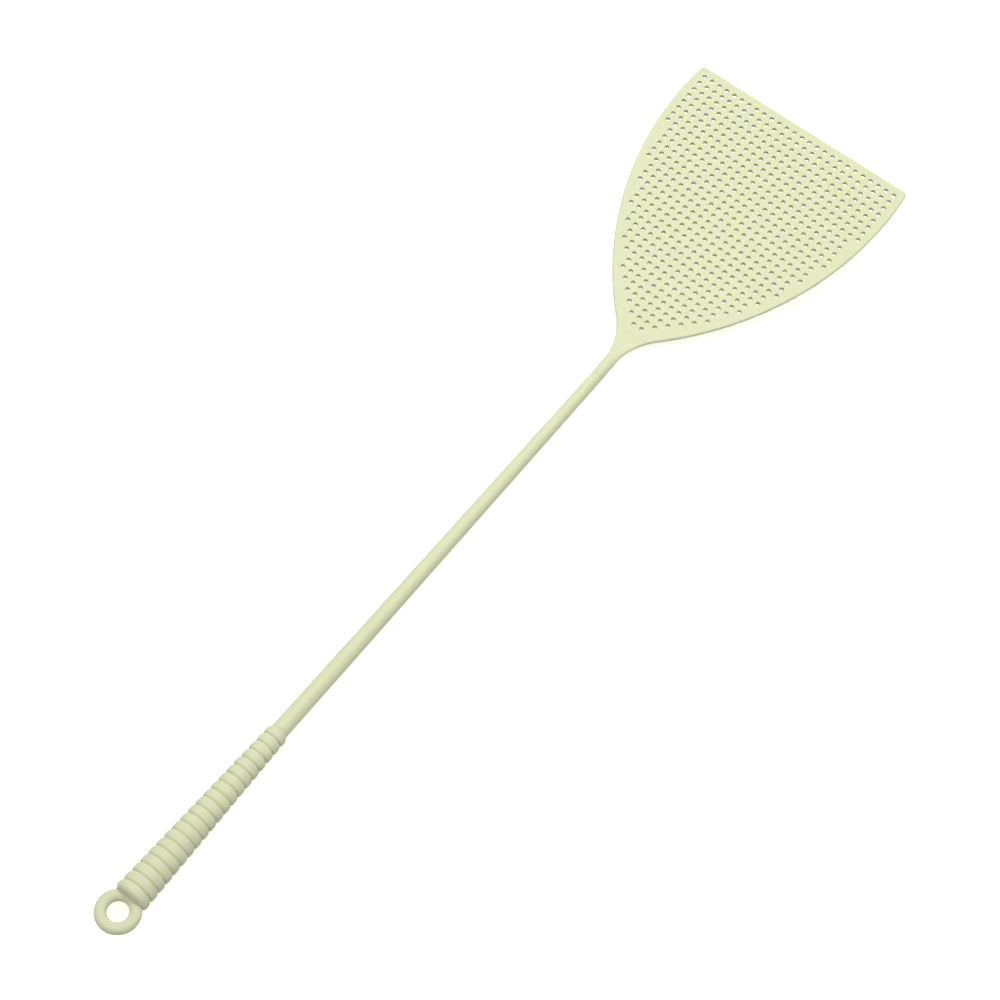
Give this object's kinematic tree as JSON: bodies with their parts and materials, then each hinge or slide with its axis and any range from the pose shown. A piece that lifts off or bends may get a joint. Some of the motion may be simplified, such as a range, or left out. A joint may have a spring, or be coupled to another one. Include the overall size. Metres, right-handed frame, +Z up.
{
  "type": "fly swatter",
  "caption": "Moulded plastic fly swatter: perforated shield-shaped paddle on a flexible neck, tapered round shaft, ribbed grip and hanging eyelet.",
  "frame": {"origin": "centre of the bounding box in X and Y, on the surface that the swatter lies on", "axes": "+Y from the eyelet to the paddle, +X across the paddle, +Z up, with the butt rib and the shaft's tip on the surface"},
  "size_m": [0.11, 0.46, 0.0164],
  "materials": {
    "paddle": "satin moulded polypropylene, pale yellow-green",
    "neck": "satin moulded polypropylene, pale yellow-green",
    "shaft": "satin moulded polypropylene, pale yellow-green",
    "grip": "matte moulded, pale yellow-green, slightly deeper than the shaft",
    "eyelet": "matte moulded, pale yellow-green"
  },
  "bodies": {
    "handle": {"shaft": "shaft", "grip_sleeve": "grip", "hanging_eyelet": "eyelet", "flexible_neck": "neck"},
    "head": {"paddle": "paddle"}
  },
  "joints": [
    {"name": "neck_flex", "type": "hinge", "parent": "handle", "child": "head", "pos_m": [0, 0.08917, 0.00358], "axis": [1, 0, 0], "range_deg": [-30, 30], "stiffness_Nm_per_rad": 0.8, "deforming": ["flexible_neck"]}
  ]
}
